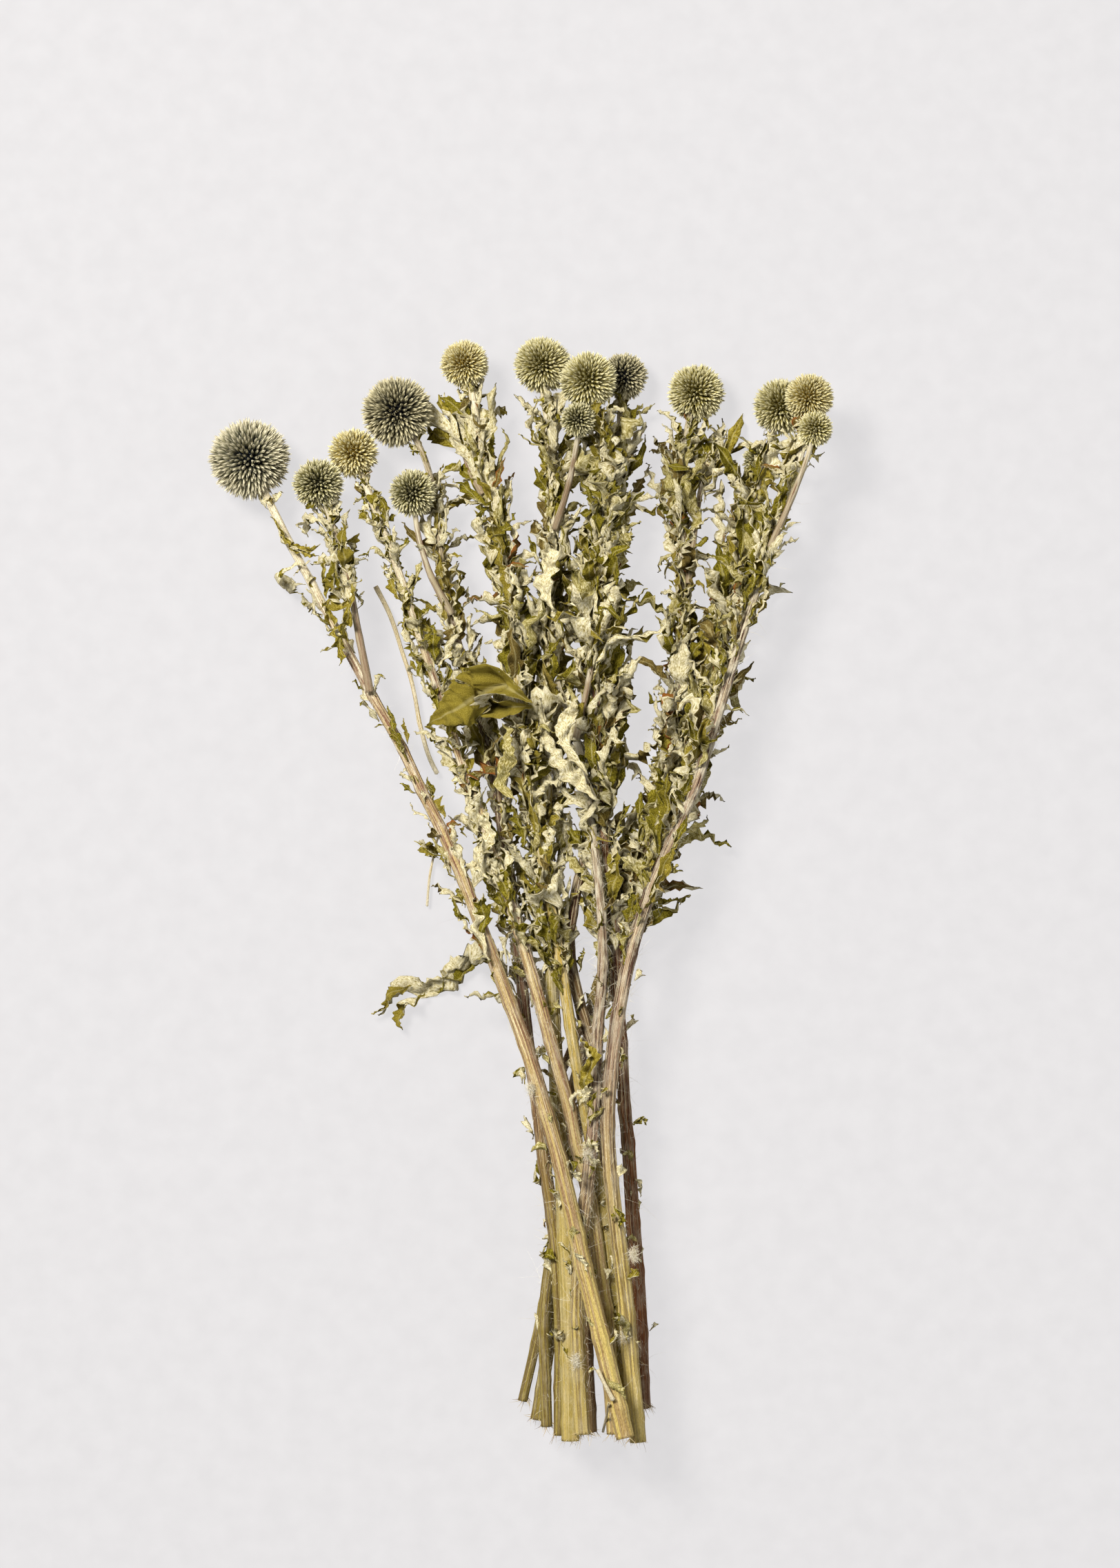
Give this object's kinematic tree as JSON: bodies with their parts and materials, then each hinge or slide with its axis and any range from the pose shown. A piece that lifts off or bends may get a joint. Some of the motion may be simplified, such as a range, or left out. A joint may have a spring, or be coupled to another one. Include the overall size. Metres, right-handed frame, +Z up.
{
  "type": "bunch of dried globe thistles",
  "caption": "Loose bunch of dried globe thistles lying flat: long ribbed stems cross at the foot and fan out to spiny round flower heads, with crumpled, lobed leaves between them.",
  "frame": {"origin": "on the surface the bunch lies on, below the middle of its bounding box", "axes": "+Y from the cut feet of the stems towards the flower heads, +X across the fan to the right, +Z up off the surface"},
  "size_m": [0.351, 0.5984, 0.082],
  "materials": {
    "stem": "matte",
    "side_stem": "matte",
    "steel_florets": "matte",
    "straw_florets": "matte",
    "leaf": "matte"
  },
  "bodies": {
    "root": {"bud_n": "straw_florets", "bud_o": "straw_florets", "bud_s": "straw_florets", "globe_a": "steel_florets", "globe_b": "straw_florets", "globe_c": "straw_florets", "globe_d": "steel_florets", "globe_e": "straw_florets", "globe_f": "straw_florets", "globe_g": "straw_florets", "globe_h": "straw_florets", "globe_i": "straw_florets", "globe_j": "straw_florets", "globe_k": "straw_florets", "globe_l": "straw_florets", "globe_m": "straw_florets", "globe_q": "straw_florets", "globe_r": "straw_florets", "leaves_a1": "leaf", "leaves_a2": "leaf", "leaves_a3": "leaf", "leaves_b1": "leaf", "leaves_c1": "leaf", "leaves_c2": "leaf", "leaves_d1": "leaf", "leaves_d2": "leaf", "leaves_f1": "leaf", "leaves_f2": "leaf", "leaves_f3": "leaf", "leaves_g1": "leaf", "leaves_g2": "leaf", "leaves_h1": "leaf", "leaves_h2": "leaf", "leaves_i1": "leaf", "leaves_j1": "leaf", "leaves_j2": "leaf", "leaves_k1": "leaf", "leaves_l1": "leaf", "leaves_l2": "leaf", "leaves_m1": "leaf", "side_stem_b": "side_stem", "side_stem_e": "side_stem", "side_stem_n": "side_stem", "side_stem_o": "side_stem", "side_stem_q": "side_stem", "side_stem_r": "side_stem", "side_stem_s": "side_stem", "stem_a": "stem", "stem_c": "stem", "stem_d": "stem", "stem_f": "stem", "stem_g": "stem", "stem_h": "stem", "stem_i": "stem", "stem_j": "stem", "stem_k": "stem", "stem_l": "stem", "stem_m": "stem", "stem_p": "stem"}
  },
  "joints": []
}
